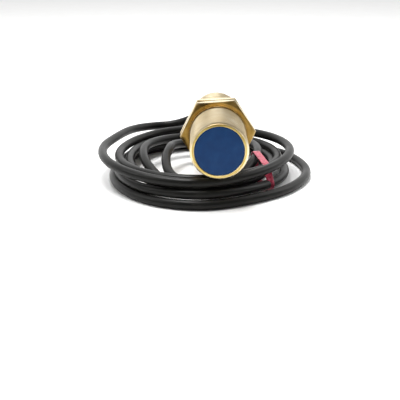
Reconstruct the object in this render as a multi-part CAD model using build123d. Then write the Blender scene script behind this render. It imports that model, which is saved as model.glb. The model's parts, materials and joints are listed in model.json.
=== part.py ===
from build123d import *
from math import atan2, cos, degrees, pi, radians, sin, sqrt, tan
import os

# A flush inductive proximity sensor in an M30 x 1.5 threaded brass barrel, with two thin
# hexagon nuts, a blue sensing cap and a moulded cable that lies in a loose coil under it.
# Frame, in millimetres: +Y runs along the barrel from the sensing face to the cable, +Z is up,
# and the origin is the centre of the sensing face. "Station" is a distance along +Y.

# Driving dimensions: the barrel and its thread
THREAD_D = 30.0              # major diameter
PITCH = 1.5
CREST_FLAT = PITCH / 8
ROOT_FLAT = PITCH / 4
THREAD_DEPTH = 0.6134 * PITCH
BARREL_END = 73.0            # station of the barrel's rear edge
RIM_LIP = 0.3                # the brass rim stands this far in front of the sensing face
RIM_CHAMFER = 1.0
BARREL_WALL = 2.2            # from the thread's crest to the bore

# Sensing cap and the coil system behind it
CAP_WALL_FRONT = 1.0
CAP_SKIRT = 1.4
CAP_LENGTH = 13.0
CAP_CHAMFER = 0.35
O_RING_CORD = 1.1
O_RING_BEHIND_FACE = 8.6
CORE_LENGTH = 9.0
CORE_POST_D = 10.0
CORE_WALL = 2.0              # outside the winding's slot
CORE_SLOT_DEPTH = 6.5
CORE_HOLE_D = 3.2
BOBBIN_WALL = 0.6

# Electronics: carrier, circuit board and what is soldered to it
CARRIER_DISC = 2.4
RAIL_WIDTH = 2.3
RAIL_HEIGHT = 4.0
RAIL_GRIP = 0.8
BOARD_WIDTH = 19.0
BOARD_THICK = 1.2
BOARD_LENGTH = 47.0
FOIL_THICK = 0.2
FOIL_GAP = 0.6               # between the foil and the bore
FOIL_LENGTH = 42.0
POTTING_THICK = 3.5

# Rear end cap, light ring, seal and strain relief
PLUG_DEPTH = 8.0             # how far the end cap reaches into the barrel
CAP_STEP = 1.0               # the end cap's edge lies this far inside the thread's crest
CAP_REACH = 6.5              # how far the end cap stands out behind the barrel
LIGHT_RING = 2.2
SEAL_WALL = 2.9              # rubber between the cable and the end cap
SEAL_LENGTH = 5.0
RELIEF_LENGTH = 16.0
RELIEF_REACH = 10.5          # of which this much is outside the end cap
RELIEF_WALL = 3.65           # rubber round the cable at the end cap
RELIEF_TIP_WALL = 1.1        # and at the thin end
RELIEF_COLLAR = 2.0          # plain length next to the end cap
RELIEF_LIP = 2.0             # plain length at the thin end
RELIEF_SLOTS = 5
RELIEF_SLOT_DEPTH = 0.7
RELIEF_EDGE = 0.2            # how far a slot's wall leans

# Nuts and serrated washers
NUT_LAND = 3.0               # from the thread's crest to the nut's flats
NUT_THICK = 5.0
NUT_STATION = 31.8           # front face of the front nut
NUT_FACE_EDGE = 0.3          # the 30 degree chamfer starts this far inside the flats
NUT_SINK = 0.7               # countersink at the nut's bore
FRONT_NUT_ANGLE = 4.2        # degrees about the barrel
REAR_NUT_ANGLE = 3.0
FRONT_NUT_TURNS = 3          # turns of free travel towards the face
REAR_NUT_TURNS = 15          # turns of free travel towards the cable
WASHER_LAND = 2.2            # from the thread's crest to the washer's edge
WASHER_THICK = 0.5
WASHER_TEETH = 30
TOOTH_DEPTH = 0.9

# Cable
CABLE_D = 5.2
LEAD_D = 1.3
TIP_D = 0.9
TIP_LENGTH = 5.0
FLOOR = -31.0                # height of the surface the cable lies on

# Coil of cable, as one solid of its outer shape
COIL_X = -6.5
COIL_Y = 58.5
COIL_HALF_X = 62.5
COIL_HALF_Y = 62.0
COIL_HOLE_X = -5.0
COIL_HOLE_Y = 41.0
COIL_HOLE_HALF_X = 23.0
COIL_HOLE_HALF_Y = 32.0
COIL_TOP_FRONT = -15.4
COIL_TOP_REAR = -11.0
TIE_X = 25.3                 # middle of the tie, seen from above
TIE_Y = 36.2
TIE_ANGLE = -75.0            # the way the tie's loop runs, seen from above
TIE_SPAN = 29.6
TIE_TALL = 16.0
TIE_LIFT = 1.2               # gap between the floor and the tie
TIE_WIDTH = 4.0
TIE_THICK = 0.6

# Clearances
RUNNING = 0.05               # nuts and washers on the barrel, and the cable in its holes
SNUG = 0.1                   # pieces pushed into each other
FACE_GAP = 0.05              # between faces that turn on each other
SWEEP_GAP = 0.5              # around the space the nuts turn in
RIM_GAP = 0.3                # between the barrel and the coil it lies on

# Sizes worked out from those above
THREAD_R = THREAD_D / 2
BORE_R = THREAD_R - BARREL_WALL
INSERT_R = BORE_R - SNUG
CAP_INNER_R = INSERT_R - CAP_SKIRT
CORE_R = CAP_INNER_R - SNUG
CORE_SLOT_R = CORE_R - CORE_WALL
CORE_START = CAP_WALL_FRONT + SNUG
CORE_END = CORE_START + CORE_LENGTH
DISC_START = CORE_END + SNUG
DISC_END = DISC_START + CARRIER_DISC
BOARD_START = DISC_END
BOARD_END = BOARD_START + BOARD_LENGTH
BOARD_TOP = BOARD_THICK / 2
PLUG_START = BARREL_END - PLUG_DEPTH
CAP_END = BARREL_END + CAP_REACH
RELIEF_START = CAP_END + RELIEF_REACH - RELIEF_LENGTH
RELIEF_END = CAP_END + RELIEF_REACH
CABLE_R = CABLE_D / 2
CABLE_HOLE_R = CABLE_R + RUNNING
SEAL_R = CABLE_R + SEAL_WALL
RELIEF_R = CABLE_R + RELIEF_WALL
RELIEF_TIP_R = CABLE_R + RELIEF_TIP_WALL
CABLE_START = RELIEF_START - SEAL_LENGTH
FOIL_R = BORE_R - FOIL_GAP
END_CAP_R = THREAD_R - CAP_STEP
WASHER_R = THREAD_R + WASHER_LAND
NUT_FLAT_R = THREAD_R + NUT_LAND
NUT_FACE_R = NUT_FLAT_R - NUT_FACE_EDGE
NUT_CORNER_R = NUT_FLAT_R / cos(radians(30))
FRONT_WASHER_STATION = NUT_STATION + NUT_THICK + FACE_GAP
REAR_WASHER_STATION = FRONT_WASHER_STATION + WASHER_THICK + FACE_GAP
REAR_NUT_STATION = REAR_WASHER_STATION + WASHER_THICK + FACE_GAP
SWEEP_START = NUT_STATION - FRONT_NUT_TURNS * PITCH - SWEEP_GAP
SWEEP_END = REAR_NUT_STATION + NUT_THICK + REAR_NUT_TURNS * PITCH + SWEEP_GAP

# The cable's route where it isn't coiled, chosen by hand
EXIT_ROUTE = [
    (0, CABLE_START, 0),
    (0, 103, 0),
    (-9, 116.5, -9),
    (-26, 122.5, -17.2),
    (-42, 117.5, -16.8),
    (-54, 105, -15.7),
    (-61, 88, -15.0),
]
TAIL_ROUTE = [
    (35, 100.5, FLOOR + CABLE_R),
    (24, 112, FLOOR + CABLE_R),
    (9, 121.5, FLOOR + CABLE_R),
]
# Middle of each bare lead's bend and its end, measured from the end of the sheath
LEADS = {
    "brown": [(-7, 9, -0.6), (-17, 19, -1.9)],
    "black": [(-10, 5.5, -1.5), (-25, 10, -1.9)],
    "blue": [(-10, 2.5, -1.4), (-26, 3, -1.9)],
}
# Where each conductor lies in the cable's section
CORES = {"brown": (-0.5, 0.9), "black": (-0.5, -0.9), "blue": (1.0, 0)}

os.makedirs("parts", exist_ok=True)
nodes = {}


def keep(name, *solids):
    """Hold the solids of one named node and write them out."""
    nodes[name] = solids[0] if len(solids) == 1 else Compound(children=list(solids))
    nodes[name].label = name
    export_step(nodes[name], f"parts/{name}.step")


def turned(*outline):
    """Solid turned about the barrel's axis from (station, radius) corners."""
    corners = [(radius, station) for station, radius in outline]
    return revolve(make_face(Polyline(*corners, close=True)), Axis.Y)


def tube(start, end, inner, outer):
    """Plain ring between two stations."""
    return turned((start, inner), (start, outer), (end, outer), (end, inner))


def rod(start, end, radius):
    """Plain round bar between two stations."""
    return turned((start, 0), (start, radius), (end, radius), (end, 0))


def block(x, y, z, width, length, height):
    """Box centred on x and z that starts at station y."""
    return Pos(x, y + length / 2, z) * Box(width, length, height)


def on_board(x, y, width, length, height, under=False):
    """Box soldered to the top or the underside of the board."""
    middle = BOARD_TOP + height / 2
    return block(x, y, -middle if under else middle, width, length, height)


def cross_section(point, direction, radius):
    """Round face square to a route's first run."""
    plane = Plane(origin=point, z_dir=direction)
    return make_face(plane * CenterArc((0, 0), radius, 0, 360))


def corner_radii(points):
    """The largest arc each corner's two runs leave room for."""
    radii = []
    for before, corner, after in zip(points, points[1:], points[2:]):
        run_in = Vector(*corner) - Vector(*before)
        run_out = Vector(*after) - Vector(*corner)
        half_turn = radians(run_in.get_angle(run_out)) / 2
        radii.append(0.45 * min(run_in.length, run_out.length) / tan(half_turn))
    return radii


def cord(name, points, radius):
    """Round cord along straight runs joined by the largest arcs."""
    radii = corner_radii(points)
    path = FilletPolyline(*points, radius=radii)
    first_run = Vector(*points[1]) - Vector(*points[0])
    solid = sweep(cross_section(points[0], first_run, radius), path=path)
    printed = ", ".join(f"{value:.1f}" for value in radii)
    expected = pi * radius ** 2 * path.length
    print(f"{name}: arcs {printed} mm, length {path.length:.1f} mm,",
          f"volume {solid.volume:.1f} of {expected:.1f} mm3")
    return solid


def o_ring(station, groove_r):
    """Ring of round rubber cord between a groove's floor and the barrel's bore."""
    cord_r = min(O_RING_CORD / 2, (BORE_R - groove_r) / 2 - RUNNING)
    return Pos(0, station, 0) * Rot(90, 0, 0) * Torus((BORE_R + groove_r) / 2, cord_r)


# Barrel: a brass tube threaded from end to end, its ridges a pitch apart
def barrel():
    root_r = THREAD_R - THREAD_DEPTH
    flank = (PITCH - CREST_FLAT - ROOT_FLAT) / 2
    first = -RIM_LIP + RIM_CHAMFER + CREST_FLAT
    grooves = int((BARREL_END - RIM_CHAMFER - CREST_FLAT - first) / PITCH)
    outline = [(-RIM_LIP, BORE_R), (-RIM_LIP, THREAD_R - RIM_CHAMFER)]
    outline.append((-RIM_LIP + RIM_CHAMFER, THREAD_R))
    for index in range(grooves):
        station = first + index * PITCH
        outline.append((station, THREAD_R))
        outline.append((station + flank, root_r))
        outline.append((station + flank + ROOT_FLAT, root_r))
        outline.append((station + 2 * flank + ROOT_FLAT, THREAD_R))
    outline.append((BARREL_END - RIM_CHAMFER, THREAD_R))
    outline.append((BARREL_END, THREAD_R - RIM_CHAMFER))
    outline.append((BARREL_END, BORE_R))
    return turned(*outline)


keep("barrel", barrel())

# Sensing cap: a blue cup pushed into the barrel, with a groove for its o-ring
O_RING_GROOVE = O_RING_CORD - 2 * RUNNING
CAP_GROOVE_R = INSERT_R - O_RING_GROOVE
groove_start = O_RING_BEHIND_FACE - O_RING_CORD / 2 - SNUG
groove_end = O_RING_BEHIND_FACE + O_RING_CORD / 2 + SNUG
keep("sensing_cap", turned(
    (0, 0),
    (0, INSERT_R - CAP_CHAMFER),
    (CAP_CHAMFER, INSERT_R),
    (groove_start, INSERT_R),
    (groove_start, CAP_GROOVE_R),
    (groove_end, CAP_GROOVE_R),
    (groove_end, INSERT_R),
    (CAP_LENGTH, INSERT_R),
    (CAP_LENGTH, CAP_INNER_R),
    (CAP_WALL_FRONT, CAP_INNER_R),
    (CAP_WALL_FRONT, 0),
))
keep("front_o_ring", o_ring(O_RING_BEHIND_FACE, CAP_GROOVE_R))

# Ferrite pot core, open towards the face, with the wound bobbin in its slot
slot_end = CORE_START + CORE_SLOT_DEPTH
keep("ferrite_core", turned(
    (CORE_START, CORE_HOLE_D / 2),
    (CORE_START, CORE_POST_D / 2),
    (slot_end, CORE_POST_D / 2),
    (slot_end, CORE_SLOT_R),
    (CORE_START, CORE_SLOT_R),
    (CORE_START, CORE_R),
    (CORE_END, CORE_R),
    (CORE_END, CORE_HOLE_D / 2),
))
bobbin_start = CORE_START + SNUG
bobbin_end = slot_end - SNUG
spool_r = CORE_POST_D / 2 + SNUG + BOBBIN_WALL
flange_r = CORE_SLOT_R - SNUG
keep("coil_bobbin", turned(
    (bobbin_start, spool_r - BOBBIN_WALL),
    (bobbin_start, flange_r),
    (bobbin_start + BOBBIN_WALL, flange_r),
    (bobbin_start + BOBBIN_WALL, spool_r),
    (bobbin_end - BOBBIN_WALL, spool_r),
    (bobbin_end - BOBBIN_WALL, flange_r),
    (bobbin_end, flange_r),
    (bobbin_end, spool_r - BOBBIN_WALL),
))
winding_start = bobbin_start + BOBBIN_WALL
winding_end = bobbin_end - BOBBIN_WALL
keep("coil_winding", tube(winding_start, winding_end, spool_r, flange_r - BOBBIN_WALL))

# Carrier: a disc behind the core with two grooved rails that hold the board's edges
RAIL_INNER = BOARD_WIDTH / 2 + SNUG - RAIL_GRIP
slot_width = BOARD_WIDTH + 2 * SNUG
board_slot = block(0, DISC_END, 0, slot_width, BOARD_LENGTH, BOARD_THICK + SNUG)
carrier = rod(DISC_START, DISC_END, CORE_R)
for side in (-1, 1):
    rail_x = side * (RAIL_INNER + RAIL_WIDTH / 2)
    carrier += block(rail_x, DISC_END, 0, RAIL_WIDTH, BOARD_LENGTH, RAIL_HEIGHT)
keep("board_carrier", carrier - board_slot)

keep("circuit_board", block(0, BOARD_START, 0, BOARD_WIDTH, BOARD_LENGTH, BOARD_THICK))


# Parts soldered to the board. "along" is a distance from the board's front edge.
def chip(x, along, width, length, height, pins, pin_gap):
    """Chip body with two rows of pins that stand on the board."""
    station = BOARD_START + along
    body = on_board(x, station, width, length, height)
    legs = []
    for side in (-1, 1):
        for index in range(pins):
            pin_y = station + length / 2 + (index - (pins - 1) / 2) * pin_gap - 0.2
            pin_x = x + side * (width / 2 + 0.4)
            legs.append(on_board(pin_x, pin_y, 0.8, 0.4, height / 2))
    return body, legs


main_chip, main_legs = chip(0, 6, 4.4, 6.5, 1.6, 8, 0.75)
driver_chip, driver_legs = chip(-3.6, 17, 3.9, 4.9, 1.5, 4, 1.2)
keep("oscillator_chip", main_chip)
keep("driver_chip", driver_chip)
keep("chip_pins", *main_legs, *driver_legs)

TAB = 1.4
transistor = on_board(0, BOARD_START + 27, 6.5, 6.1, 2.3)
keep("output_transistor", transistor)
keep("transistor_tab", on_board(0, BOARD_START + 27 - TAB, 5.3, TAB, 0.6))

capacitor_places = [(-5.5, 3), (5.5, 3), (4.6, 16), (4.6, 20), (-6.2, 36), (6.2, 36)]
capacitors = [on_board(x, BOARD_START + along, 1.3, 2.0, 1.2) for x, along in capacitor_places]
keep("ceramic_capacitors", *capacitors)

resistor_rows = [(column * 2.6 - 5.2, 9 + row * 11) for row in range(3) for column in range(5)]
resistors = [on_board(x, BOARD_START + along, 0.9, 1.7, 0.5, True) for x, along in resistor_rows]
keep("chip_resistors", *resistors)

tantalum = on_board(5.2, BOARD_START + 25, 3.2, 6.0, 2.6)
keep("supply_capacitor", tantalum)

DIODE_R = 0.8
diodes = []
for x, along in ((-6.2, 26), (-6.2, 31)):
    middle = (x, BOARD_START + along + 1.8, BOARD_TOP + DIODE_R)
    diodes.append(Pos(*middle) * Rot(90, 0, 0) * Cylinder(DIODE_R, 3.6))
keep("protection_diodes", *diodes)

# Four lamps at the board's rear edge shine into the light ring
lamps = []
for x in (-3.4, 3.4):
    for under in (False, True):
        lamps.append(on_board(x, BOARD_END - 5.0, 1.6, 0.9, 0.8, under))
keep("status_lamps", *lamps)

foil_start = CAP_LENGTH + SNUG
keep("screen_foil", tube(foil_start, foil_start + FOIL_LENGTH, FOIL_R - FOIL_THICK, FOIL_R))

# Rear end cap: plug in the barrel, seat for the light ring, stepped bore for seal and relief
plug_groove = PLUG_START + O_RING_CORD / 2 + 2.0
plug_groove_start = plug_groove - O_RING_CORD / 2 - SNUG
plug_groove_end = plug_groove + O_RING_CORD / 2 + SNUG
ring_end = BARREL_END + LIGHT_RING
ring_inner = END_CAP_R - 2.0
keep("end_cap", turned(
    (PLUG_START, CABLE_HOLE_R),
    (PLUG_START, INSERT_R),
    (plug_groove_start, INSERT_R),
    (plug_groove_start, CAP_GROOVE_R),
    (plug_groove_end, CAP_GROOVE_R),
    (plug_groove_end, INSERT_R),
    (BARREL_END, INSERT_R),
    (BARREL_END, ring_inner),
    (ring_end, ring_inner),
    (ring_end, END_CAP_R),
    (CAP_END - 1.6, END_CAP_R),
    (CAP_END - 0.4, END_CAP_R - 1.2),
    (CAP_END, END_CAP_R - 2.6),
    (CAP_END, RELIEF_R + RUNNING),
    (RELIEF_START, RELIEF_R + RUNNING),
    (RELIEF_START, SEAL_R),
    (CABLE_START, SEAL_R),
    (CABLE_START, CABLE_HOLE_R),
))
keep("rear_o_ring", o_ring(plug_groove, CAP_GROOVE_R))
keep("light_ring", tube(BARREL_END, ring_end, ring_inner + RUNNING, END_CAP_R))
keep("cable_seal", tube(CABLE_START, RELIEF_START, CABLE_HOLE_R, SEAL_R - SNUG))


# Strain relief: a tapered rubber sleeve with rings cut into it so that it bends
def strain_relief():
    slot_pitch = (RELIEF_REACH - RELIEF_COLLAR - RELIEF_LIP) / RELIEF_SLOTS
    slots_start = CAP_END + RELIEF_COLLAR
    taper = (RELIEF_R - RELIEF_TIP_R) / RELIEF_REACH
    outline = [(RELIEF_START, CABLE_HOLE_R)]
    outline.append((RELIEF_START, RELIEF_R))
    outline.append((slots_start, RELIEF_R))
    for index in range(RELIEF_SLOTS):
        station = slots_start + index * slot_pitch
        radius = RELIEF_R - taper * (station - CAP_END)
        next_radius = radius - taper * slot_pitch
        outline.append((station + RELIEF_EDGE, radius - RELIEF_SLOT_DEPTH))
        outline.append((station + slot_pitch / 2, next_radius - RELIEF_SLOT_DEPTH))
        outline.append((station + slot_pitch / 2 + RELIEF_EDGE, next_radius))
        outline.append((station + slot_pitch, next_radius))
    outline.append((RELIEF_END - RELIEF_LIP / 2, RELIEF_TIP_R))
    outline.append((RELIEF_END, RELIEF_TIP_R - RELIEF_SLOT_DEPTH))
    outline.append((RELIEF_END, CABLE_HOLE_R))
    return turned(*outline)


keep("strain_relief", strain_relief())

# Potting behind the board, with holes for the three conductors that run into the cable
potting_start = BOARD_END + 0.3
potting = rod(potting_start, potting_start + POTTING_THICK, INSERT_R)
for index, (name, (core_x, core_z)) in enumerate(CORES.items()):
    pad_x = (index - 1) * 3.0
    pad_z = BOARD_TOP + LEAD_D / 2
    route = [
        (pad_x, BOARD_END - 3.0, pad_z),
        (pad_x, potting_start + 0.5, pad_z),
        (core_x, CABLE_START - 5.0, core_z),
        (core_x, CABLE_START, core_z),
    ]
    keep(f"conductor_{name}", cord(f"conductor_{name}", route, LEAD_D / 2))
    potting -= nodes[f"conductor_{name}"]
keep("potting", potting)


# Nuts: hexagon prisms chamfered at 30 degrees on both faces, countersunk at the bore
def nut(station, angle):
    end = station + NUT_THICK
    corner = (cos(radians(angle)), 0, sin(radians(angle)))
    plane = Plane(origin=(0, end, 0), x_dir=corner, z_dir=(0, -1, 0))
    prism = extrude(plane * RegularPolygon(NUT_CORNER_R, 6), NUT_THICK)
    chamfer_depth = (NUT_CORNER_R - NUT_FACE_R) * tan(radians(30))
    bore_r = THREAD_R + RUNNING
    shell = turned(
        (station, bore_r + NUT_SINK),
        (station, NUT_FACE_R),
        (station + chamfer_depth, NUT_CORNER_R),
        (end - chamfer_depth, NUT_CORNER_R),
        (end, NUT_FACE_R),
        (end, bore_r + NUT_SINK),
        (end - NUT_SINK, bore_r),
        (station + NUT_SINK, bore_r),
    )
    return prism & shell


def washer(station):
    """Thin ring with saw teeth cut into its outer edge."""
    ring = tube(station, station + WASHER_THICK, THREAD_R + RUNNING, WASHER_R)
    side = TOOTH_DEPTH * sqrt(2)
    notch = Rot(0, 45, 0) * Box(side, 2 * WASHER_THICK, side)
    at_edge = Pos(WASHER_R, station + WASHER_THICK / 2, 0) * notch
    for index in range(WASHER_TEETH):
        ring -= Rot(0, index * 360 / WASHER_TEETH, 0) * at_edge
    return ring


keep("front_nut", nut(NUT_STATION, FRONT_NUT_ANGLE))
keep("front_lock_washer", washer(FRONT_WASHER_STATION))
keep("rear_lock_washer", washer(REAR_WASHER_STATION))
keep("rear_nut", nut(REAR_NUT_STATION, REAR_NUT_ANGLE))


# Tie: a flat band in a closed loop round one side of the coil
def tie(clear=0.0):
    turn = radians(TIE_ANGLE)
    outward = Vector(cos(turn), sin(turn), 0)
    along = Vector(-sin(turn), cos(turn), 0)
    middle = Vector(TIE_X, TIE_Y, FLOOR + TIE_LIFT + TIE_TALL / 2)
    start = middle - along * (TIE_WIDTH / 2)
    plane = Plane(origin=start, x_dir=outward, z_dir=along)
    outer = RectangleRounded(TIE_SPAN, TIE_TALL, CABLE_R)
    inner = RectangleRounded(TIE_SPAN - 2 * TIE_THICK, TIE_TALL - 2 * TIE_THICK, CABLE_R - TIE_THICK)
    return extrude(plane * (outer - inner), TIE_WIDTH)


keep("coil_tie", tie())


# Coil of cable: an oval ring with a sloping top, cut clear of the barrel and of the nuts' travel
def coil():
    tall = COIL_TOP_REAR - FLOOR
    outer = Pos(COIL_X, COIL_Y, FLOOR) * Ellipse(COIL_HALF_X, COIL_HALF_Y)
    hole = Pos(COIL_HOLE_X, COIL_HOLE_Y, FLOOR) * Ellipse(COIL_HOLE_HALF_X, COIL_HOLE_HALF_Y)
    ring = extrude(outer - hole, tall)
    front = COIL_Y - COIL_HALF_Y
    slope = degrees(atan2(COIL_TOP_REAR - COIL_TOP_FRONT, 2 * COIL_HALF_Y))
    lid = Box(4 * COIL_HALF_X, 4 * COIL_HALF_Y, tall, align=(Align.CENTER, Align.CENTER, Align.MIN))
    ring -= Pos(COIL_X, front, COIL_TOP_FRONT) * Rot(slope, 0, 0) * lid
    ring -= rod(SWEEP_START, SWEEP_END, NUT_CORNER_R + SWEEP_GAP)
    ring -= rod(-RIM_LIP - COIL_HALF_Y, CAP_END + SWEEP_GAP, THREAD_R + RIM_GAP)
    return ring - tie()


cable_coil = coil()
keep("cable_coil", cable_coil)
keep("cable_lead", cord("cable_lead", EXIT_ROUTE, CABLE_R) - cable_coil)
keep("cable_tail", cord("cable_tail", TAIL_ROUTE, CABLE_R) - cable_coil)

# Bare leads at the far end, fanned out from the sheath, with tinned tips
sheath_end = Vector(*TAIL_ROUTE[-1])
tail_run = (sheath_end - Vector(*TAIL_ROUTE[-2])).normalized()
across_tail = Vector(-tail_run.Y, tail_run.X, 0)
tips = []
for name, (core_x, core_z) in CORES.items():
    start = sheath_end + across_tail * core_x + Vector(0, 0, core_z)
    straight = start + tail_run * 3.0
    bend, end = [sheath_end + Vector(*offset) for offset in LEADS[name]]
    route = [tuple(start), tuple(straight), tuple(bend), tuple(end)]
    keep(f"lead_{name}", cord(f"lead_{name}", route, LEAD_D / 2))
    last_run = (end - bend).normalized()
    face = cross_section(end, last_run, TIP_D / 2)
    tips.append(extrude(face, TIP_LENGTH, dir=last_run))
keep("tinned_tips", *tips)

print("nodes", len(nodes))
print("nut sweep from", SWEEP_START, "to", SWEEP_END)
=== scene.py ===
# %% [markdown]
# This notebook builds the looks of a flush proximity sensor: a threaded brass barrel with a blue
# sensing face, two thin hexagon nuts with toothed washers between them, a plastic end cap and a
# long black cable that lies in a loose coil under the barrel. The sizes come from the packed
# model, which is loaded first and never changed. Every new piece rides on one of its bodies.

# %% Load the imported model
import json
from math import cos, exp, hypot, pi, radians, sin, tan

import bmesh
import bpy
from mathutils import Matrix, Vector


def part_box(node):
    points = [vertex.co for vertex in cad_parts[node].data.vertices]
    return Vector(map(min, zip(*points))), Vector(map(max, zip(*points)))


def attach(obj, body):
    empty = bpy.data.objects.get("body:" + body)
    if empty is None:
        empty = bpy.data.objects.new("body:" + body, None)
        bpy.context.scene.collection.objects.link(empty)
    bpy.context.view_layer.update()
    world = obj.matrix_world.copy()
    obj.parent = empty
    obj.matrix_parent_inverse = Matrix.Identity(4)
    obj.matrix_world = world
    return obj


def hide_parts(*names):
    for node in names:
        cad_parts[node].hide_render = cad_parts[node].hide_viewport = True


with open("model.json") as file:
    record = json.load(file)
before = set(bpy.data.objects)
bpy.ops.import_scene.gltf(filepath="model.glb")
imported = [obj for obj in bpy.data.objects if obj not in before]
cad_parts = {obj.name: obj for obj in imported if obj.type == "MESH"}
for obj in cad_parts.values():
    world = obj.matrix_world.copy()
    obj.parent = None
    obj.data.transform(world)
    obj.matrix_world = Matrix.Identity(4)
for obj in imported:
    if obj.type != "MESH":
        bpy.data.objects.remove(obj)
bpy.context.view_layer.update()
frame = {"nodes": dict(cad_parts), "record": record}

# %% [markdown]
# Blender measures in metres and this object is measured in millimetres, so one factor turns a
# size into metres wherever it is used. The barrel runs along +Y from the sensing face, and a
# distance along it is called a station. The origin is the middle of the sensing face.

# %% Main sizes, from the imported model
MM = 0.001


def size_of(node):
    """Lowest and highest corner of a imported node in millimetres."""
    low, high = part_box(node)
    return low / MM, high / MM


barrel_low, barrel_high = size_of("barrel")
THREAD_R = barrel_high.x
RIM_STATION = barrel_low.y
BARREL_END = barrel_high.y
CAP_R = size_of("sensing_cap")[1].x
CAP_REAR = size_of("sensing_cap")[1].y
END_CAP_END = size_of("end_cap")[1].y
RELIEF_END = size_of("strain_relief")[1].y
FLOOR = size_of("cable_coil")[0].z
PITCH = 1.5
THREAD_DEPTH = 0.92
RIM_CHAMFER = 1.0
BORE_R = 12.8
print(f"thread {2 * THREAD_R:.1f} mm, from {RIM_STATION:.1f} to {BARREL_END:.1f}, floor {FLOOR:.1f}")

# %% [markdown]
# The camera stands in front of the sensing face and looks down on it at about 20 degrees, from a
# third of a metre away, so that the barrel is strongly foreshortened. It is made first, because
# everything else is judged through it.

# %% Camera
CAMERA_AT = (-9.74, -336.1, 99.1)
CAMERA_DOWN = 20.4
CAMERA_LENS = 62.82

bpy.ops.object.camera_add(
    location=[value * MM for value in CAMERA_AT],
    rotation=(radians(90 - CAMERA_DOWN), 0, 0),
)
camera = bpy.context.object
camera.name = "camera"
camera.data.lens = CAMERA_LENS
camera.data.clip_start = 0.01
bpy.context.scene.camera = camera
print("camera", camera.location[:])

# %% [markdown]
# The cable is one smooth curve with a round bevel. A NURBS spline of order 3 is drawn by its
# control points, so a few well placed points give long even bends, as a stiff cable has. The
# coil's points are worked out in a loop: each turn has a reach and a height at its back, left,
# front and right, and the points between them are blended with a cosine. The turns differ in
# size, so they fan out and rest on each other as a hand-wound coil does.

# %% Route of the cable, in millimetres
CABLE_D = 5.2
LEAD_ROUTE = [
    (0, 89.5, 0),
    (0, 103, 0),
    (-9, 116.5, -9),
    (-26, 122.5, -17.2),
    (-42, 117.5, -16.8),
    (-54, 105, -15.7),
]
TAIL_ROUTE = [
    (35, 100.5, -28.4),
    (24, 112, -28.4),
    (9, 121.5, -28.4),
]
COIL_MIDDLE = (-8, 56)
POINTS_A_QUARTER = 3
# Each turn: reach from the middle, then height, at its back, left, front and right
COIL_TURNS = [
    ((61, 60.5, 55.5, 53), (-15.5, -14.7, -18.2, -15.2)),
    ((56, 50.5, 48.5, 45.5), (-16.8, -18, -18.2, -19.8)),
    ((55, 43.5, 50, 42), (-21.5, -20, -23.6, -22.3)),
    ((27, 19.5, 42, 33), (-18.3, -14.5, -24.4, -15.8)),
    ((42, 35.5, 41, 36), (-18.6, -15.5, -28.4, -26.4)),
    ((57, 50.5, 57.8, 50), (-26, -25, -23.5, -27.8)),
    ((61, 53.5, 60.5, 64), (-28.4, -28.4, -28.4, -28.4)),
]
COIL_END = (66, -28.4)
# The coil is pulled in a little where the tie holds it
DENT_ANGLE = -50
DENT_WIDTH = 30
DENT_DEPTH = 0.115


def coil_points():
    """Control points of all the turns, from the back of the first to the last one's right."""
    stations = []
    for reaches, heights in COIL_TURNS:
        stations += list(zip(reaches, heights))
    stations.append(COIL_END)
    points = []
    for index in range(2, (len(stations) - 1) * POINTS_A_QUARTER - 1):
        quarter, step = divmod(index, POINTS_A_QUARTER)
        blend = (1 - cos(pi * step / POINTS_A_QUARTER)) / 2
        reach = stations[quarter][0] * (1 - blend) + stations[quarter + 1][0] * blend
        height = stations[quarter][1] * (1 - blend) + stations[quarter + 1][1] * blend
        degrees = 90 + 90 * index / POINTS_A_QUARTER
        off_dent = (degrees - DENT_ANGLE + 180) % 360 - 180
        reach *= 1 - DENT_DEPTH * exp(-((off_dent / DENT_WIDTH) ** 2))
        x = COIL_MIDDLE[0] + reach * cos(radians(degrees))
        y = COIL_MIDDLE[1] + reach * sin(radians(degrees))
        points.append((x, y, height))
    return points


def smooth_curve(name, points, diameter, resolution=6, round_steps=4):
    """A round cord along one open NURBS spline. The bevel is 1, and each point's radius scales it."""
    curve = bpy.data.curves.new(name, "CURVE")
    curve.dimensions = "3D"
    curve.resolution_u = resolution
    curve.bevel_depth = 1
    curve.bevel_resolution = round_steps
    curve.use_fill_caps = True
    spline = curve.splines.new("NURBS")
    spline.points.add(len(points) - 1)
    for control, (x, y, z) in zip(spline.points, points):
        control.co = (x * MM, y * MM, z * MM, 1)
        control.radius = diameter / 2 * MM
    spline.order_u = 3
    spline.use_endpoint_u = True
    piece = bpy.data.objects.new(name, curve)
    bpy.context.scene.collection.objects.link(piece)
    return piece


cable_points = LEAD_ROUTE + coil_points() + TAIL_ROUTE
cable = smooth_curve("cable", cable_points, CABLE_D, resolution=6, round_steps=5)
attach(cable, "root")
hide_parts("cable_lead", "cable_coil", "cable_tail")
print("cable control points", len(cable_points))

# %% [markdown]
# A helper for each habit that comes back: nothing selected before a new piece, one vertex group
# of edges extruded and scaled at a time, and the object's place baked into its mesh at the end.

# %% Helpers for modelling by hand
def clear_selection():
    """Nothing stays selected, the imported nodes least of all."""
    if bpy.context.object and bpy.context.object.mode != "OBJECT":
        bpy.ops.object.mode_set(mode="OBJECT")
    bpy.ops.object.select_all(action="DESELECT")


def named(name):
    """Name the piece that was just added and its mesh."""
    piece = bpy.context.object
    piece.name = name
    piece.data.name = name
    return piece


def work_on(piece):
    """Make one piece the selected and active one."""
    clear_selection()
    piece.select_set(True)
    bpy.context.view_layer.objects.active = piece


def settle(piece):
    """Bake place, turn and scale into the mesh."""
    work_on(piece)
    bpy.ops.object.transform_apply(location=True, rotation=True, scale=True)


def apply_modifier(piece, kind, **settings):
    """Add a modifier, set it and apply it."""
    work_on(piece)
    modifier = piece.modifiers.new(kind.lower(), kind)
    for key, value in settings.items():
        setattr(modifier, key, value)
    bpy.ops.object.modifier_apply(modifier=modifier.name)


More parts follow.
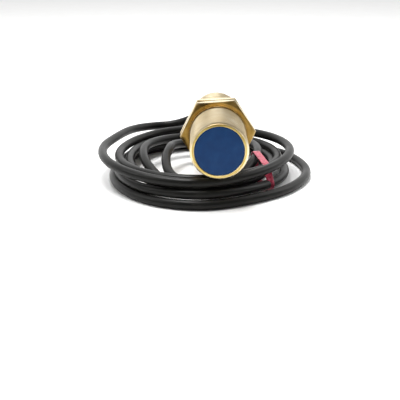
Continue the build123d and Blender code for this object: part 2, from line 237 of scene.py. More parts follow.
def tidy_mesh(piece, distance=1e-7):
    """Merge doubles and turn all faces outwards."""
    work_on(piece)
    bpy.ops.object.mode_set(mode="EDIT")
    bpy.ops.mesh.select_all(action="SELECT")
    bpy.ops.mesh.remove_doubles(threshold=distance)
    bpy.ops.mesh.normals_make_consistent(inside=False)
    bpy.ops.object.mode_set(mode="OBJECT")


def shade(piece, degrees=30):
    """Smooth shading with sharp edges kept above an angle."""
    work_on(piece)
    bpy.ops.object.shade_smooth_by_angle(angle=radians(degrees))


def triangles(piece):
    """How many triangles a mesh piece has."""
    piece.data.calc_loop_triangles()
    return len(piece.data.loop_triangles)


def extrude_to(station, radius, last_station, last_radius):
    """Pull the selected ring of edges to a new station and radius about the barrel's axis."""
    move = (0, (station - last_station) * MM, 0)
    bpy.ops.mesh.extrude_region_move(TRANSFORM_OT_translate={"value": move})
    factor = radius / last_radius
    bpy.ops.transform.resize(
        value=(factor, 1, factor), center_override=(0, station * MM, 0)
    )


def turned(name, outline, segments=96, closed=True):
    """A turned piece: a circle pulled from corner to corner of its (station, radius) outline."""
    clear_selection()
    station, radius = outline[0]
    bpy.ops.mesh.primitive_circle_add(
        vertices=segments,
        radius=radius * MM,
        location=(0, station * MM, 0),
        rotation=(pi / 2, 0, 0),
    )
    piece = named(name)
    settle(piece)
    bpy.ops.object.mode_set(mode="EDIT")
    bpy.ops.mesh.select_mode(type="EDGE")
    bpy.ops.mesh.select_all(action="SELECT")
    corners = outline[1:] + ([outline[0]] if closed else [])
    for next_station, next_radius in corners:
        extrude_to(next_station, next_radius, station, radius)
        station, radius = next_station, next_radius
    if not closed:
        bpy.ops.mesh.select_all(action="SELECT")
        bpy.ops.mesh.fill_holes(sides=0)
    bpy.ops.object.mode_set(mode="OBJECT")
    tidy_mesh(piece)
    return piece


def rounded(outline, sizes, steps=3):
    """An outline with some corners rounded: sizes maps a corner's index to its cut length."""
    made = []
    count = len(outline)
    for index, corner in enumerate(outline):
        if index not in sizes:
            made.append(corner)
            continue
        here = Vector(corner)
        before = Vector(outline[index - 1]) - here
        after = Vector(outline[(index + 1) % count]) - here
        start = here + before.normalized() * sizes[index]
        end = here + after.normalized() * sizes[index]
        for step in range(steps + 1):
            part = step / steps
            bend = (1 - part) ** 2 * start + 2 * part * (1 - part) * here + part**2 * end
            made.append((bend.x, bend.y))
    return made


# %% [markdown]
# The barrel's thread is a real helix. One pitch of its section is drawn as a short line by
# extruding a single vertex, and the Screw modifier winds it round the barrel once a turn. The two
# ends are cut square, and their chamfers are made by pressing the crests down to a cone, which
# is what a lathe does to the first threads.

# %% Barrel: one pitch of thread
THREAD_STEPS = 108
CREST = PITCH / 8
ROOT = PITCH / 4
FLANK = (PITCH - CREST - ROOT) / 2
ROOT_R = THREAD_R - THREAD_DEPTH
EDGE = 0.05
thread_section = [
    (0, THREAD_R),
    (CREST, THREAD_R),
    (CREST + EDGE, THREAD_R - EDGE),
    (CREST + FLANK - EDGE, ROOT_R + EDGE),
    (CREST + FLANK + EDGE, ROOT_R),
    (CREST + FLANK + ROOT - EDGE, ROOT_R),
    (CREST + FLANK + ROOT + EDGE, ROOT_R + EDGE),
    (PITCH - EDGE, THREAD_R - EDGE),
    (PITCH, THREAD_R),
]
TURNS = int((BARREL_END - RIM_STATION) / PITCH) + 2
thread_start = RIM_STATION - PITCH

clear_selection()
bpy.ops.mesh.primitive_plane_add(size=MM, location=(0, 0, 0))
barrel = named("barrel_shell")
bpy.ops.object.mode_set(mode="EDIT")
bpy.ops.mesh.select_all(action="SELECT")
bpy.ops.mesh.merge(type="CENTER")
bpy.ops.transform.translate(value=(THREAD_R * MM, thread_start * MM, 0))
for (station, radius), (next_station, next_radius) in zip(thread_section, thread_section[1:]):
    step = ((next_radius - radius) * MM, (next_station - station) * MM, 0)
    bpy.ops.mesh.extrude_region_move(TRANSFORM_OT_translate={"value": step})
bpy.ops.object.mode_set(mode="OBJECT")
apply_modifier(
    barrel,
    "SCREW",
    axis="Y",
    screw_offset=PITCH * MM,
    iterations=TURNS,
    steps=THREAD_STEPS,
    render_steps=THREAD_STEPS,
    use_merge_vertices=True,
    merge_threshold=1e-6,
)
print("thread turns", TURNS, "triangles", triangles(barrel))

# %% Barrel: square ends and chamfers
def cut_across(piece, station, keep_above=None):
    """Cut a mesh square to the barrel; keep_above True drops what is below the cut."""
    work_on(piece)
    bpy.ops.object.mode_set(mode="EDIT")
    bpy.ops.mesh.select_all(action="SELECT")
    bpy.ops.mesh.bisect(
        plane_co=(0, station * MM, 0),
        plane_no=(0, 1, 0),
        clear_inner=keep_above is True,
        clear_outer=keep_above is False,
        threshold=1e-7,
    )
    bpy.ops.object.mode_set(mode="OBJECT")


RIM_EDGE_R = THREAD_R - RIM_CHAMFER
ROUNDING = 0.12
tidy_mesh(barrel, 1e-6)
cut_across(barrel, RIM_STATION, keep_above=True)
cut_across(barrel, BARREL_END, keep_above=False)
for from_end in (ROUNDING, 0.4, RIM_CHAMFER):
    cut_across(barrel, RIM_STATION + from_end)
    cut_across(barrel, BARREL_END - from_end)


def chamfer_radius(station):
    """Largest radius that the end chamfers leave at a station."""
    from_end = min(station - RIM_STATION, BARREL_END - station)
    if from_end < ROUNDING:
        return RIM_EDGE_R - ROUNDING * (1 - from_end / ROUNDING) * 0.6 + from_end
    return RIM_EDGE_R + from_end


for vertex in barrel.data.vertices:
    radius = hypot(vertex.co.x, vertex.co.z)
    most = chamfer_radius(vertex.co.y / MM) * MM
    if radius > most:
        vertex.co.x *= most / radius
        vertex.co.z *= most / radius
print("chamfers pressed", triangles(barrel))

# %% Barrel: rim faces and the bore
EDGE_TOUCH = 0.001


def select_end_edges(piece, station):
    """Select the open edges that lie at a station."""
    work_on(piece)
    bpy.ops.object.mode_set(mode="EDIT")
    bpy.ops.mesh.select_mode(type="EDGE")
    bpy.ops.mesh.select_all(action="DESELECT")
    mesh = bmesh.from_edit_mesh(piece.data)
    for edge in mesh.edges:
        at_end = all(abs(v.co.y / MM - station) < EDGE_TOUCH for v in edge.verts)
        edge.select = edge.is_boundary and at_end
    mesh.select_flush_mode()
    bmesh.update_edit_mesh(piece.data)


end_r = chamfer_radius(RIM_STATION)
INNER_CHAMFER = 0.18
for station, inwards in ((RIM_STATION, 1), (BARREL_END, -1)):
    select_end_edges(barrel, station)
    extrude_to(station, BORE_R + INNER_CHAMFER, station, end_r)
    extrude_to(station + inwards * INNER_CHAMFER, BORE_R, station, BORE_R + INNER_CHAMFER)
select_end_edges(barrel, RIM_STATION + INNER_CHAMFER)
mesh = bmesh.from_edit_mesh(barrel.data)
for edge in mesh.edges:
    if edge.is_boundary:
        edge.select = True
bmesh.update_edit_mesh(barrel.data)
bpy.ops.mesh.bridge_edge_loops()
bpy.ops.object.mode_set(mode="OBJECT")
tidy_mesh(barrel, 1e-7)
shade(barrel, 35)
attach(barrel, "root")
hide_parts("barrel")
print("barrel triangles", triangles(barrel))

# %% [markdown]
# Each nut is a hexagon cut from bar and then turned: the lathe leaves a 30 degree chamfer that
# meets the flats in curved edges. That shape is exactly what is common to a six-sided prism and
# a turned blank, so the two are intersected with a Boolean modifier. A fine bevel then catches
# the light along every edge.

# %% Nuts
NUT_CORNER_R = 36 / 2 / cos(radians(30))
NUT_FACE_R = 17.7
NUT_BORE_R = THREAD_R + 0.05
NUT_SINK = 0.85


def nut(name, node, body, corner_angle):
    """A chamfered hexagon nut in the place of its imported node."""
    low, high = size_of(node)
    start, end = low.y, high.y
    clear_selection()
    bpy.ops.mesh.primitive_cylinder_add(
        vertices=6,
        radius=NUT_CORNER_R * MM,
        depth=(end - start) * MM,
        location=(0, (start + end) / 2 * MM, 0),
        rotation=(pi / 2, -radians(corner_angle + 30), 0),
    )
    piece = named(name)
    settle(piece)
    slope = (NUT_CORNER_R - NUT_FACE_R + 1) * tan(radians(30))
    blank = turned(
        "nut_blank",
        [
            (start, NUT_BORE_R + NUT_SINK),
            (start, NUT_FACE_R),
            (start + slope, NUT_CORNER_R + 1),
            (end - slope, NUT_CORNER_R + 1),
            (end, NUT_FACE_R),
            (end, NUT_BORE_R + NUT_SINK),
            (end - NUT_SINK, NUT_BORE_R),
            (start + NUT_SINK, NUT_BORE_R),
        ],
        segments=144,
    )
    apply_modifier(piece, "BOOLEAN", operation="INTERSECT", object=blank, solver="EXACT")
    bpy.data.objects.remove(blank)
    tidy_mesh(piece, 1e-7)
    apply_modifier(
        piece,
        "BEVEL",
        width=0.16 * MM,
        segments=2,
        limit_method="ANGLE",
        angle_limit=radians(18),
        use_clamp_overlap=True,
    )
    shade(piece, 24)
    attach(piece, body)
    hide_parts(node)
    print(name, "triangles", triangles(piece))
    return piece


front_nut = nut("front_hex_nut", "front_nut", "front_nut", 4.2)
rear_nut = nut("rear_hex_nut", "rear_nut", "rear_nut", 3.0)

# %% [markdown]
# The sensing cap, the light ring and the end cap are moulded plastic. They are turned shapes with
# soft corners, because a mould can't make a sharp one and the highlight along a corner is what
# makes plastic look moulded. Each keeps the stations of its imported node.

# %% Sensing cap
CAP_WALL = 1.0
CAP_SKIRT = 1.4
cap_outline = [
    (CAP_WALL, 1.0),
    (CAP_WALL, CAP_R - CAP_SKIRT),
    (CAP_REAR, CAP_R - CAP_SKIRT),
    (CAP_REAR, CAP_R),
    (0, CAP_R),
    (0, 1.0),
]
cap_outline = rounded(cap_outline, {3: 0.3, 4: 0.45}, steps=4)
sensing_cap = turned("blue_cap", cap_outline, segments=120, closed=False)
shade(sensing_cap, 40)
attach(sensing_cap, "root")
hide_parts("sensing_cap")
print("sensing cap triangles", triangles(sensing_cap))

# %% Light ring and end cap
ring_high = size_of("light_ring")[1]
LIGHT_END = ring_high.y
END_CAP_R = ring_high.x
SEAT_R = END_CAP_R - 2
ring_outline = [
    (BARREL_END, SEAT_R + 0.05),
    (BARREL_END, END_CAP_R),
    (LIGHT_END, END_CAP_R),
    (LIGHT_END, SEAT_R + 0.05),
]
light_ring = turned("lamp_ring", rounded(ring_outline, {1: 0.25, 2: 0.25}), segments=120)
shade(light_ring, 40)
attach(light_ring, "root")
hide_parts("light_ring")

PLUG_START = size_of("end_cap")[0].y
RELIEF_START = size_of("strain_relief")[0].y
RELIEF_R = size_of("strain_relief")[1].x
CABLE_HOLE_R = CABLE_D / 2 + 0.05
end_cap_outline = [
    (PLUG_START, CABLE_HOLE_R),
    (PLUG_START, CAP_R),
    (BARREL_END, CAP_R),
    (BARREL_END, SEAT_R),
    (LIGHT_END, SEAT_R),
    (LIGHT_END, END_CAP_R),
    (END_CAP_END - 1.6, END_CAP_R),
    (END_CAP_END - 0.4, END_CAP_R - 1.2),
    (END_CAP_END, END_CAP_R - 2.6),
    (END_CAP_END, RELIEF_R + 0.05),
    (RELIEF_START, RELIEF_R + 0.05),
    (RELIEF_START, CABLE_HOLE_R),
]
end_cap_outline = rounded(end_cap_outline, {1: 0.4, 5: 0.3, 6: 0.5, 7: 0.5, 8: 0.5, 9: 0.3})
end_cap = turned("rear_end_cap", end_cap_outline, segments=120)
shade(end_cap, 40)
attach(end_cap, "root")
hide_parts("end_cap")
print("light ring", triangles(light_ring), "end cap", triangles(end_cap))

# %% [markdown]
# The strain relief is a tapered rubber sleeve. Grooves round it let it bend, and two small webs in
# each groove, a quarter turn from those of the next, stop it from stretching. The sleeve is
# turned first, then one web is modelled, copied into each groove and joined on.

# %% Strain relief
GROOVES = 5
GROOVE_DEPTH = 0.7
RELIEF_COLLAR = 2.0
RELIEF_LIP = 2.0
TIP_R = 3.7
grooves_start = END_CAP_END + RELIEF_COLLAR
groove_pitch = (RELIEF_END - RELIEF_LIP - grooves_start) / GROOVES


def relief_radius(station):
    """Radius of the sleeve's taper at a station."""
    along = (station - END_CAP_END) / (RELIEF_END - END_CAP_END)
    return RELIEF_R + (TIP_R - RELIEF_R) * along


relief_outline = [(RELIEF_START, CABLE_HOLE_R), (RELIEF_START, RELIEF_R)]
soft_corners = {}
for index in range(GROOVES):
    groove_start = grooves_start + index * groove_pitch
    groove_end = groove_start + groove_pitch / 2
    first = len(relief_outline)
    relief_outline.append((groove_start, relief_radius(groove_start)))
    relief_outline.append((groove_start + 0.1, relief_radius(groove_start) - GROOVE_DEPTH))
    relief_outline.append((groove_end - 0.1, relief_radius(groove_end) - GROOVE_DEPTH))
    relief_outline.append((groove_end, relief_radius(groove_end)))
    soft_corners.update({first + corner: 0.12 for corner in range(4)})
relief_outline.append((RELIEF_END, TIP_R))
soft_corners[len(relief_outline) - 1] = 0.5
relief_outline.append((RELIEF_END, CABLE_HOLE_R))
relief = turned("relief_sleeve", rounded(relief_outline, soft_corners, steps=2), segments=72)

WEB_WIDTH = 1.6
for index in range(GROOVES):
    middle = grooves_start + (index + 0.25) * groove_pitch
    reach = relief_radius(middle) - 0.08
    for half_turn in range(2):
        clear_selection()
        bpy.ops.mesh.primitive_cube_add(
            size=MM, location=(0, middle * MM, (reach - GROOVE_DEPTH / 2) * MM)
        )
        web = named("relief_web")
        web.dimensions = (WEB_WIDTH * MM, (groove_pitch / 2 + 0.1) * MM, GROOVE_DEPTH * MM)
        settle(web)
        apply_modifier(web, "BEVEL", width=0.1 * MM, segments=2)
        work_on(web)
        web.rotation_euler.y = radians(90 * index + 180 * half_turn)
        settle(web)
        relief.select_set(True)
        bpy.context.view_layer.objects.active = relief
        bpy.ops.object.join()
shade(relief, 35)
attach(relief, "root")
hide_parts("strain_relief")
print("strain relief triangles", triangles(relief))

# %% [markdown]
# A thin red band is tied round five strands at one side of the coil. A tight band takes the
# shape of a stretched string round them, which is the convex hull of the strands where they
# cross the band's plane. So the strands are found on the cable's own centre line, a ring of
# points is wrapped round them, and that ring is extruded to the band's width.

# %% Where the strands cross the tie's plane
TIE_MIDDLE = (27, 30)
TIE_ANGLE = -75
TIE_REACH = (-22, 9)
OVER_TIE = -18
TIE_WIDTH = 4.0
TIE_THICK = 0.45
TIE_GAP = 0.12
tie_outward = Vector((cos(radians(TIE_ANGLE)), sin(radians(TIE_ANGLE)), 0))
tie_across = Vector((-tie_outward.y, tie_outward.x, 0))
tie_origin = Vector((TIE_MIDDLE[0], TIE_MIDDLE[1], 0))


def centre_line(piece):
    """Points along a curve's middle, in millimetres."""
    bare = piece.copy()
    bare.data = piece.data.copy()
    bare.data.bevel_depth = 0
    bare.data.use_fill_caps = False
    bpy.context.scene.collection.objects.link(bare)
    seen = bare.evaluated_get(bpy.context.evaluated_depsgraph_get())
    mesh = bpy.data.meshes.new_from_object(seen)
    points = [vertex.co / MM for vertex in mesh.vertices]
    bpy.data.meshes.remove(mesh)
    bpy.data.objects.remove(bare)
    return points


strands = []
cable_middle = centre_line(cable)
for here, there in zip(cable_middle, cable_middle[1:]):
    side = (here - tie_origin).dot(tie_across)
    next_side = (there - tie_origin).dot(tie_across)
    if side * next_side > 0 or side == next_side:
        continue
    crossing = here.lerp(there, side / (side - next_side))
    outward = (crossing - tie_origin).dot(tie_outward)
    runs_over = outward > 0 and crossing.z > OVER_TIE
    if TIE_REACH[0] < outward < TIE_REACH[1] and not runs_over:
        strands.append((outward, crossing.z))
print("strands in the tie", [(round(x, 1), round(z, 1)) for x, z in strands])


# %% Tie: the band
def wrapped(points):
    """Convex hull of flat points, anticlockwise."""
    points = sorted(points)
    ends = []
    for ordered in (points, points[::-1]):
        hull = []
        for x, y in ordered:
            while len(hull) > 1:
                (x0, y0), (x1, y1) = hull[-2:]
                if (x1 - x0) * (y - y1) - (y1 - y0) * (x - x1) > 0:
                    break
                hull.pop()
            hull.append((x, y))
        ends += hull[:-1]
    return ends


def spaced(loop, count):
    """The same closed loop with its points evenly spaced."""
    closed = [Vector(point) for point in loop + loop[:1]]
    total = sum((b - a).length for a, b in zip(closed, closed[1:]))
    points = []
    walked = 0
    for start, end in zip(closed, closed[1:]):
        run = (end - start).length
        while len(points) < count and len(points) * total / count <= walked + run:
            along = (len(points) * total / count - walked) / run
            points.append(start.lerp(end, along))
        walked += run
    return points


ROUND_POINTS = 32
around = []
for outward, height in strands:
    for step in range(ROUND_POINTS):
        turn = 2 * pi * step / ROUND_POINTS
        radius = CABLE_D / 2 + TIE_GAP
        around.append((outward + radius * cos(turn), height + radius * sin(turn)))
loop = spaced(wrapped(around), 96)

clear_selection()
bpy.ops.mesh.primitive_circle_add(vertices=len(loop), radius=MM)
tie = named("red_tie")
for vertex, (outward, height) in zip(tie.data.vertices, loop):
    place = tie_origin + tie_outward * outward - tie_across * (TIE_WIDTH / 2)
    vertex.co = (place.x * MM, place.y * MM, height * MM)
bpy.ops.object.mode_set(mode="EDIT")
bpy.ops.mesh.select_all(action="SELECT")
for step in range(4):
    bpy.ops.mesh.extrude_region_move(
        TRANSFORM_OT_translate={"value": tie_across * (TIE_WIDTH / 4 * MM)}
    )
bpy.ops.object.mode_set(mode="OBJECT")
tidy_mesh(tie)
apply_modifier(tie, "SOLIDIFY", thickness=TIE_THICK * MM, offset=1)
apply_modifier(tie, "BEVEL", width=0.1 * MM, segments=2, limit_method="ANGLE")
shade(tie, 35)
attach(tie, "root")
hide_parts("coil_tie")
print("tie triangles", triangles(tie))

# %% [markdown]
# Every finish starts from the same few parts: object coordinates, a noise of a known grain size,
# a ramp that turns it into colours or values, and a bump. Plain values stay on the shader's own
# sockets. The helpers take sizes in millimetres, so a grain can be compared with the real thing.

# %% Helpers for finishes
def new_finish(name, color, roughness, metallic=0.0):
    """A material with its plain values set, its node tree, shader and object coordinates."""
    material = bpy.data.materials.new(name)
    material.use_nodes = True
    tree = material.node_tree
    shader = tree.nodes["Principled BSDF"]
    shader.inputs["Base Color"].default_value = (*color, 1)
    shader.inputs["Roughness"].default_value = roughness
    shader.inputs["Metallic"].default_value = metallic
    place = tree.nodes.new("ShaderNodeTexCoord").outputs["Object"]
    return material, tree, shader, place


def grain(tree, place, size, stretch=(1, 1, 1), detail=3):
    """Noise with grains of a size in millimetres, stretched this many times along each axis."""
    mapping = tree.nodes.new("ShaderNodeMapping")
    mapping.inputs["Scale"].default_value = [1 / factor for factor in stretch]
    noise = tree.nodes.new("ShaderNodeTexNoise")
    noise.inputs["Scale"].default_value = 1 / (size * MM)
    noise.inputs["Detail"].default_value = detail
    tree.links.new(place, mapping.inputs["Vector"])
    tree.links.new(mapping.outputs["Vector"], noise.inputs["Vector"])
    return noise.outputs[0]


def values(tree, amount, low, high, start=0.35, end=0.65):
    """Turn a pattern's middle range into values from low to high."""
    span = tree.nodes.new("ShaderNodeMapRange")
    tree.links.new(amount, span.inputs["Value"])
    span.inputs["From Min"].default_value = start
    span.inputs["From Max"].default_value = end
    span.inputs["To Min"].default_value = low
    span.inputs["To Max"].default_value = high
    return span.outputs["Result"]


def colors(tree, amount, *stops):
    """A ramp through (position, colour) stops."""
    ramp = tree.nodes.new("ShaderNodeValToRGB")
    elements = ramp.color_ramp.elements
    while len(elements) < len(stops):
        elements.new(0.5)
    for element, (position, color) in zip(elements, stops):
        element.position = position
        element.color = (*color, 1)
    tree.links.new(amount, ramp.inputs["Fac"])
    return ramp.outputs["Color"]


def mixed(tree, amount, first, second):
    """One colour over another by an amount from 0 to 1."""
    mix = tree.nodes.new("ShaderNodeMix")
    mix.data_type = "RGBA"
    tree.links.new(amount, mix.inputs["Factor"])
    tree.links.new(first, mix.inputs["A"])
    tree.links.new(second, mix.inputs["B"])
    return mix.outputs["Result"]


def add_bump(tree, shader, height, depth, strength=1.0):
    """Press a pattern into the surface by a depth in millimetres."""
    bump = tree.nodes.new("ShaderNodeBump")
    bump.inputs["Distance"].default_value = depth * MM
    bump.inputs["Strength"].default_value = strength
    tree.links.new(height, bump.inputs["Height"])
    tree.links.new(bump.outputs["Normal"], shader.inputs["Normal"])


def lathe_place(tree, place):
    """Coordinates for the marks of turning: distance from the axis, and station."""
    flat = tree.nodes.new("ShaderNodeVectorMath")
    flat.operation = "MULTIPLY"
    flat.inputs[1].default_value = (1, 0, 1)
    tree.links.new(place, flat.inputs[0])
    distance = tree.nodes.new("ShaderNodeVectorMath")
    distance.operation = "LENGTH"
    tree.links.new(flat.outputs["Vector"], distance.inputs[0])
    split = tree.nodes.new("ShaderNodeSeparateXYZ")
    tree.links.new(place, split.inputs["Vector"])
    join = tree.nodes.new("ShaderNodeCombineXYZ")
    tree.links.new(distance.outputs["Value"], join.inputs["X"])
    tree.links.new(split.outputs["Y"], join.inputs["Y"])
    return join.outputs["Vector"]


def facing_end(tree, start, end):
    """How far a face looks along the barrel: 0 on the sides and 1 on the end faces."""
    direction = tree.nodes.new("ShaderNodeTexCoord").outputs["Normal"]
    split = tree.nodes.new("ShaderNodeSeparateXYZ")
    tree.links.new(direction, split.inputs["Vector"])
    size = tree.nodes.new("ShaderNodeMath")
    size.operation = "ABSOLUTE"
    tree.links.new(split.outputs["Y"], size.inputs[0])
    return values(tree, size.outputs["Value"], 0, 1, start, end)


# %% [markdown]
# The barrel is brass that has been turned. Its thread and sides are a pale brass with a painted
# sheen, while the flat end faces, the rim's face among them, are a deeper gold that is painted shade.
# Fine rings from the tool run round it, which are noise in the lathe's own two coordinates, and a
# broad noise tints it unevenly.

# %% Brass of the barrel
brass, tree, shader, place = new_finish("brass", (0.78, 0.64, 0.40), 0.3, metallic=1.0)
turning = lathe_place(tree, place)
cloud = grain(tree, place, 9, detail=4)
tool_rings = grain(tree, turning, 0.16, detail=2)
pale_side_painted_sheen = colors(
    tree,
    cloud,
    (0.3, (0.80, 0.64, 0.38)),
    (0.5, (0.87, 0.73, 0.48)),
    (0.7, (0.92, 0.80, 0.58)),
)
end_face_painted_shade = colors(tree, cloud, (0.35, (0.48, 0.34, 0.09)), (0.65, (0.66, 0.50, 0.17)))
# Painted light: the sides get a pale brass with a painted sheen, and the flat end faces a deeper gold
# that is painted shade.
brass_with_painted_light = mixed(tree, facing_end(tree, 0.9, 0.97), pale_side_painted_sheen, end_face_painted_shade)
tree.links.new(brass_with_painted_light, shader.inputs["Base Color"])
tree.links.new(values(tree, tool_rings, 0.3, 0.42), shader.inputs["Roughness"])
add_bump(tree, shader, tool_rings, 0.006, 0.4)
barrel.data.materials.append(brass)
print("brass nodes", len(tree.nodes))

# %% [markdown]
# The nuts are sliced from drawn hexagon bar. The flats are pale with a painted sheen and have
# streaks along the bar, while the faces and their chamfers are a brown gold that is painted shade,
# varied in patches, with rings from facing and small dark specks.

# %% Brass of the nuts
nut_brass, tree, shader, place = new_finish("nut_brass", (0.6, 0.45, 0.2), 0.3, metallic=1.0)
turning = lathe_place(tree, place)
patches = grain(tree, place, 7, detail=4)
face_rings = grain(tree, turning, 0.22, detail=2)
streaks = grain(tree, place, 0.5, stretch=(1, 12, 1), detail=2)
specks = grain(tree, place, 0.55, detail=2)
nut_face_painted_shade = colors(
    tree,
    patches,
    (0.3, (0.17, 0.10, 0.022)),
    (0.48, (0.28, 0.17, 0.04)),
    (0.7, (0.42, 0.27, 0.08)),
)
nut_flat_streaks_and_painted_sheen = colors(tree, streaks, (0.3, (0.66, 0.54, 0.31)), (0.7, (0.86, 0.75, 0.52)))
# Painted light: the flats get a pale colour with a painted sheen, and the faces and chamfers a brown
# gold that is painted shade.
nut_with_painted_light = mixed(tree, facing_end(tree, 0.72, 0.84), nut_flat_streaks_and_painted_sheen, nut_face_painted_shade)
speck_color = colors(tree, specks, (0.0, (0.10, 0.06, 0.02)), (1.0, (0.10, 0.06, 0.02)))
speck_amount = values(tree, specks, 0, 0.7, 0.68, 0.76)
tree.links.new(mixed(tree, speck_amount, nut_with_painted_light, speck_color), shader.inputs["Base Color"])
tree.links.new(values(tree, patches, 0.26, 0.42), shader.inputs["Roughness"])
add_bump(tree, shader, face_rings, 0.012, 0.5)
front_nut.data.materials.append(nut_brass)
rear_nut.data.materials.append(nut_brass)
print("nut brass nodes", len(tree.nodes))

# %% [markdown]
# The sensing cap is deep blue moulded plastic with a satin face. A very fine grain gives the
# spark-eroded texture of the mould, and a broad faint mottle keeps the disc from looking painted.

# %% Blue plastic
blue_plastic, tree, shader, place = new_finish("blue_plastic", (0.004, 0.042, 0.15), 0.42)
shader.inputs["Specular IOR Level"].default_value = 0.18
mottle = grain(tree, place, 5, detail=5)
mould_grain = grain(tree, place, 0.22, detail=3)
blue = colors(
    tree,
    mottle,
    (0.3, (0.003, 0.036, 0.130)),
    (0.55, (0.004, 0.042, 0.148)),
    (0.75, (0.007, 0.050, 0.166)),
)
tree.links.new(blue, shader.inputs["Base Color"])
tree.links.new(values(tree, mould_grain, 0.38, 0.52), shader.inputs["Roughness"])
add_bump(tree, shader, mould_grain, 0.02, 0.4)
sensing_cap.data.materials.append(blue_plastic)
print("blue plastic nodes", len(tree.nodes))

# %% [markdown]
# The cable's sheath is soft black PVC: satin, a little streaky where it left the extruder, with
# a dusty bloom in places. The end cap is harder and more even, and the strain relief is matt.

# %% Cable sheath
cable_sheath, tree, shader, place = new_finish("cable_sheath", (0.007, 0.007, 0.006), 0.3)
shader.inputs["Specular IOR Level"].default_value = 0.2
bloom = grain(tree, place, 14, detail=4)
skin = grain(tree, place, 0.9, detail=3)
sheath_color = colors(
    tree,
    bloom,
    (0.35, (0.0046, 0.0044, 0.0038)),
    (0.55, (0.0074, 0.0072, 0.0062)),
    (0.75, (0.013, 0.0128, 0.011)),
)
tree.links.new(sheath_color, shader.inputs["Base Color"])
tree.links.new(values(tree, bloom, 0.32, 0.44), shader.inputs["Roughness"])
add_bump(tree, shader, skin, 0.012, 0.3)
cable.data.materials.append(cable_sheath)

# %% Black plastic, frosted plastic and relief rubber
black_plastic, tree, shader, place = new_finish("black_plastic", (0.014, 0.014, 0.015), 0.45)
moulded = grain(tree, place, 0.3, detail=3)
handled = grain(tree, place, 6, detail=3)
black = colors(tree, handled, (0.3, (0.011, 0.011, 0.012)), (0.7, (0.021, 0.021, 0.022)))
tree.links.new(black, shader.inputs["Base Color"])
tree.links.new(values(tree, moulded, 0.38, 0.55), shader.inputs["Roughness"])
add_bump(tree, shader, moulded, 0.03, 0.5)
end_cap.data.materials.append(black_plastic)

frosted, tree, shader, place = new_finish("frosted_plastic", (0.72, 0.69, 0.60), 0.35)
shader.inputs["Subsurface Weight"].default_value = 0.3
shader.inputs["Subsurface Scale"].default_value = 1.5 * MM
haze = grain(tree, place, 1.2, detail=4)
milk = colors(tree, haze, (0.3, (0.64, 0.61, 0.52)), (0.7, (0.80, 0.78, 0.70)))
tree.links.new(milk, shader.inputs["Base Color"])
tree.links.new(values(tree, haze, 0.28, 0.42), shader.inputs["Roughness"])
add_bump(tree, shader, haze, 0.02, 0.3)
light_ring.data.materials.append(frosted)

relief_rubber, tree, shader, place = new_finish("relief_rubber", (0.02, 0.02, 0.02), 0.6)
pores = grain(tree, place, 0.35, detail=4)
worn = grain(tree, place, 3, detail=3)
rubber_color = colors(tree, worn, (0.3, (0.014, 0.014, 0.014)), (0.7, (0.032, 0.032, 0.031)))
tree.links.new(rubber_color, shader.inputs["Base Color"])
tree.links.new(values(tree, worn, 0.5, 0.7), shader.inputs["Roughness"])
add_bump(tree, shader, pores, 0.04, 0.5)
relief.data.materials.append(relief_rubber)
print("plastics and rubber done")

# %% [markdown]
# The tie is a thin coated band in a deep rose red. Its coat is glossier than the plastic and has
# fine ribs along the band, and a noise turns it a paler pink in places.

# %% Red tie
tie_red, tree, shader, place = new_finish("tie_red", (0.44, 0.035, 0.085), 0.3)
shader.inputs["Coat Weight"].default_value = 0.25
shader.inputs["Coat Roughness"].default_value = 0.2
pink_patch_noise = grain(tree, place, 1.4, detail=5)
ribs = grain(tree, place, 0.4, stretch=(1, 1, 5), detail=2)
red = colors(
    tree,
    pink_patch_noise,
    (0.3, (0.30, 0.018, 0.045)),
    (0.55, (0.46, 0.032, 0.075)),
    (0.75, (0.62, 0.11, 0.19)),
)
tree.links.new(red, shader.inputs["Base Color"])
tree.links.new(values(tree, pink_patch_noise, 0.24, 0.42), shader.inputs["Roughness"])
add_bump(tree, shader, ribs, 0.05, 0.4)
tie.data.materials.append(tie_red)
print("tie nodes", len(tree.nodes))

# %% [markdown]
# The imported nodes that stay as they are, the washers, the bare leads and everything inside the
# barrel, get one finish for each slot of the record. A table gives each its dark and light
# colour, roughness, metalness and the size of its grain, and one function makes them all.

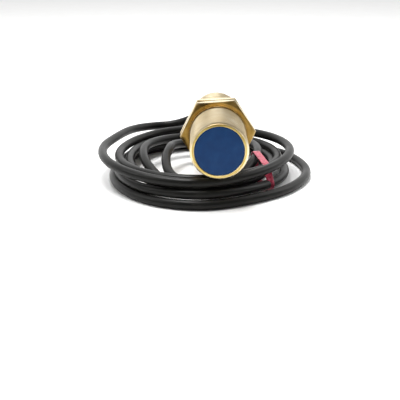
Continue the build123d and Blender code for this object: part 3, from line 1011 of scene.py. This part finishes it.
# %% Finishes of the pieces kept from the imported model
# slot: (darker colour, lighter colour, roughness, metallic, grain in mm, bump in mm)
KEPT_FINISHES = {
    "washer_metal": ((0.30, 0.22, 0.10), (0.52, 0.42, 0.24), 0.38, 1.0, 1.5, 0.02),
    "rubber": ((0.010, 0.010, 0.010), (0.024, 0.024, 0.023), 0.5, 0.0, 0.6, 0.02),
    "ferrite": ((0.06, 0.06, 0.065), (0.13, 0.13, 0.14), 0.55, 0.2, 0.3, 0.02),
    "nylon": ((0.62, 0.60, 0.52), (0.80, 0.78, 0.70), 0.45, 0.0, 2.0, 0.01),
    "enamelled_copper": ((0.34, 0.11, 0.03), (0.62, 0.26, 0.09), 0.3, 1.0, 0.3, 0.05),
    "copper_foil": ((0.52, 0.25, 0.13), (0.78, 0.45, 0.29), 0.32, 1.0, 1.2, 0.03),
    "board_laminate": ((0.015, 0.10, 0.04), (0.03, 0.17, 0.07), 0.38, 0.0, 0.8, 0.01),
    "chip_resin": ((0.012, 0.012, 0.013), (0.03, 0.03, 0.03), 0.55, 0.0, 0.2, 0.02),
    "tinned_copper": ((0.50, 0.49, 0.46), (0.74, 0.73, 0.70), 0.32, 1.0, 0.3, 0.02),
    "capacitor_ceramic": ((0.38, 0.29, 0.19), (0.56, 0.46, 0.33), 0.5, 0.0, 0.3, 0.01),
    "resistor_black": ((0.015, 0.015, 0.016), (0.04, 0.04, 0.04), 0.35, 0.0, 0.3, 0.01),
    "tantalum_resin": ((0.52, 0.30, 0.04), (0.70, 0.45, 0.08), 0.45, 0.0, 0.5, 0.01),
    "diode_glass": ((0.32, 0.10, 0.05), (0.52, 0.22, 0.13), 0.15, 0.0, 0.8, 0.0),
    "lamp_lens": ((0.66, 0.52, 0.14), (0.86, 0.76, 0.36), 0.2, 0.0, 0.6, 0.0),
    "potting_resin": ((0.02, 0.02, 0.024), (0.06, 0.06, 0.065), 0.25, 0.0, 2.5, 0.03),
    "insulation_brown": ((0.085, 0.028, 0.012), (0.15, 0.06, 0.03), 0.4, 0.0, 0.7, 0.01),
    "insulation_black": ((0.009, 0.009, 0.009), (0.022, 0.022, 0.022), 0.4, 0.0, 0.7, 0.01),
    "insulation_blue": ((0.02, 0.09, 0.32), (0.04, 0.16, 0.46), 0.4, 0.0, 0.7, 0.01),
}


def kept_finish(name, dark, light, roughness, metallic, size, depth):
    """A finish of two tones with a fine grain."""
    material, tree, shader, place = new_finish(name, light, roughness, metallic)
    tones = grain(tree, place, size * 4, detail=4)
    fine = grain(tree, place, size, detail=3)
    two_tone = colors(tree, tones, (0.32, dark), (0.68, light))
    tree.links.new(two_tone, shader.inputs["Base Color"])
    low, high = max(roughness - 0.07, 0.05), roughness + 0.09
    tree.links.new(values(tree, fine, low, high), shader.inputs["Roughness"])
    if depth:
        add_bump(tree, shader, fine, depth, 0.5)
    return material


kept = {name: kept_finish(name, *finish) for name, finish in KEPT_FINISHES.items()}
painted = 0
for subpart in frame["record"]["subparts"]:
    finish = kept.get(subpart["material_slot"])
    if finish is None:
        continue
    node = frame["nodes"][subpart["node"]]
    node.data.materials.clear()
    node.data.materials.append(finish)
    painted += 1
print("packed nodes painted", painted)

# %% [markdown]
# The floor is one plain pale sheet, large enough to fill the view, and it belongs to the stage.
# The light is soft and comes mostly from above and behind, so that the tops of the thread and nuts
# turn almost white. The faces that look at the camera are darker by painted shade in their colour.

# %% Floor
clear_selection()
bpy.ops.mesh.primitive_plane_add(size=8, location=(0, 0, FLOOR * MM))
floor = named("floor")
settle(floor)
paper, tree, shader, place = new_finish("floor_paper", (0.9, 0.9, 0.89), 0.7)
fibre = grain(tree, place, 25, detail=3)
paper_color = colors(tree, fibre, (0.3, (0.895, 0.893, 0.885)), (0.7, (0.915, 0.915, 0.91)))
tree.links.new(paper_color, shader.inputs["Base Color"])
floor.data.materials.append(paper)
print("floor at", FLOOR, "mm")


# %% Lights and surroundings
def soft_box(name, location, target, size, power):
    """A square area light that looks at a target, both in metres."""
    bpy.ops.object.light_add(type="AREA", location=location)
    light = bpy.context.object
    light.name = name
    light.data.shape = "SQUARE"
    light.data.size = size
    light.data.energy = power
    aim = Vector(target) - Vector(location)
    light.rotation_euler = aim.to_track_quat("-Z", "Y").to_euler()
    return light


soft_box("top_light", (-0.12, 0.1, 0.9), (0, 0.05, 0), 0.45, 9.5)
soft_box("left_light", (-0.8, -0.1, 0.55), (0, 0.05, 0), 0.45, 2.2)
soft_box("right_light", (0.75, 0.2, 0.5), (0, 0.05, 0), 0.45, 2.2)

world = bpy.data.worlds.new("studio")
bpy.context.scene.world = world
world.use_nodes = True
surroundings = world.node_tree
background = surroundings.nodes["Background"]
background.inputs["Strength"].default_value = 1.6
direction = surroundings.nodes.new("ShaderNodeTexCoord").outputs["Generated"]
split = surroundings.nodes.new("ShaderNodeSeparateXYZ")
surroundings.links.new(direction, split.inputs["Vector"])
from_front = values(surroundings, split.outputs["Y"], 0, 1, -0.1, 0.6)
walls = colors(surroundings, from_front, (0.0, (0.14, 0.14, 0.14)), (1.0, (1, 1, 1)))
surroundings.links.new(walls, background.inputs["Color"])
bpy.context.scene.view_settings.view_transform = "Standard"
